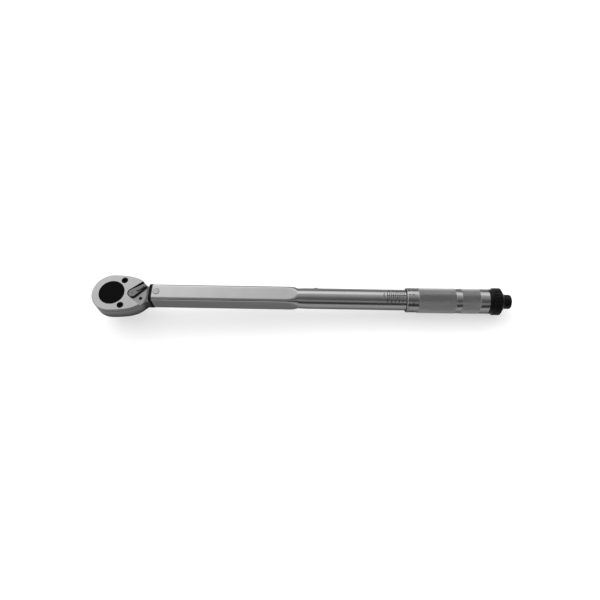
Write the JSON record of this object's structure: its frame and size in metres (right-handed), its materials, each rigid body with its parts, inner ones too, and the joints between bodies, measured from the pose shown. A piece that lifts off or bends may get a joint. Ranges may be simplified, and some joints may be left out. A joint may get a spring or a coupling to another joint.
{
  "type": "torque wrench",
  "caption": "Click-type torque wrench with a square-drive reversible ratchet head, flat-sided chrome tube, knurled micrometer grip and black lock ring.",
  "frame": {"origin": "centre of the square drive's end face", "axes": "+X from the drive axis along the tube to the grip, +Z along the drive axis towards the reversing lever"},
  "size_m": [0.4464, 0.0428, 0.042],
  "materials": {
    "head_steel": "satin chrome over a forging",
    "tube_chrome": "drawn satin chrome",
    "grip_chrome": "chrome, knurled bands",
    "black_steel": "black oxide",
    "bright_steel": "ground steel",
    "spring_steel": "oiled spring steel",
    "black_rubber": "moulded, matt",
    "black_plastic": "moulded, satin"
  },
  "bodies": {
    "tube_body": {"tube": "tube_chrome", "tube_mouth_seal": "black_rubber", "pivot_pin": "head_steel", "guide_screw": "black_steel", "spindle_nut": "bright_steel", "nut_pins": "bright_steel"},
    "head": {"ratchet_head": "head_steel", "cover_plate": "head_steel", "cover_screws": "black_steel", "direction_marks": "black_plastic"},
    "drive": {"drive_gear": "black_steel", "detent_spring": "spring_steel"},
    "socket_ball": {"detent_ball": "bright_steel"},
    "pawl": {"ratchet_pawl": "bright_steel"},
    "lever": {"reversing_lever": "head_steel", "lever_clip": "spring_steel", "pawl_plunger": "bright_steel", "lever_spring": "spring_steel"},
    "plunger": {"spring_plunger": "bright_steel", "main_spring": "spring_steel"},
    "block": {"click_block": "bright_steel"},
    "follower": {"spring_follower": "bright_steel", "thrust_ball": "bright_steel"},
    "grip": {"adjusting_spindle": "bright_steel", "lock_pins": "bright_steel", "grip_sleeve": "grip_chrome", "grip_end_plug": "bright_steel", "spindle_set_screws": "black_steel", "lock_ring_clip": "spring_steel"},
    "lock_knob": {"lock_ring": "black_plastic", "lock_end_cap": "black_plastic"},
    "lock_shaft": {"lock_rod": "bright_steel", "lock_rod_pin": "bright_steel"}
  },
  "joints": [
    {"name": "head_click", "type": "hinge", "parent": "tube_body", "child": "head", "pos_m": [0.0483, 0, 0.0275], "axis": [0, 0, 1], "range_deg": [0, 1], "stiffness_Nm_per_rad": 40, "springref_deg": -1.72},
    {"name": "plunger_slide", "type": "slide", "parent": "tube_body", "child": "plunger", "axis": [1, 0, 0], "range_m": [0, 0.0022], "deforming": ["main_spring"]},
    {"name": "block_tilt", "type": "hinge", "parent": "plunger", "child": "block", "pos_m": [0.2059, 0.0035, 0.0275], "axis": [0, 0, -1], "range_deg": [0, 15.5]},
    {"name": "drive_spin", "type": "hinge", "parent": "head", "child": "drive", "pos_m": [0, 0, 0.0275], "axis": [0, 0, 1], "continuous": true},
    {"name": "socket_ball_press", "type": "slide", "parent": "drive", "child": "socket_ball", "axis": [0, 1, 0], "range_m": [0, 0.0008], "stiffness_N_per_m": 400, "springref_m": -0.0004, "deforming": ["detent_spring"]},
    {"name": "lever_flip", "type": "hinge", "parent": "head", "child": "lever", "pos_m": [0.022, 0, 0.0275], "axis": [0, 0, -1], "range_deg": [0, 76]},
    {"name": "pawl_shift", "type": "hinge", "parent": "head", "child": "pawl", "pos_m": [0, 0, 0.0275], "axis": [0, 0, 1], "range_deg": [0, 12.1]},
    {"name": "grip_feed", "type": "slide", "parent": "tube_body", "child": "follower", "axis": [-1, 0, 0], "range_m": [0, 0.0201], "deforming": ["main_spring"]},
    {"name": "grip_turn", "type": "hinge", "parent": "follower", "child": "grip", "pos_m": [0.36, 0, 0.0275], "axis": [-1, 0, 0], "range_deg": [0, 3600]},
    {"name": "lock_turn", "type": "hinge", "parent": "grip", "child": "lock_knob", "pos_m": [0.408, 0, 0.0275], "axis": [-1, 0, 0], "range_deg": [0, 450]},
    {"name": "lock_slide", "type": "slide", "parent": "grip", "child": "lock_shaft", "axis": [-1, 0, 0], "range_m": [0, 0.0016]}
  ],
  "couplings": [
    {"joint": "plunger_slide", "follows": "head_click", "m_per_rad": 0.12},
    {"joint": "block_tilt", "follows": "head_click", "ratio": 15},
    {"joint": "pawl_shift", "follows": "lever_flip", "ratio": 0.1579},
    {"joint": "grip_feed", "follows": "grip_turn", "m_per_rad": 0.00031831},
    {"joint": "lock_slide", "follows": "lock_turn", "m_per_rad": 0.00019894}
  ]
}
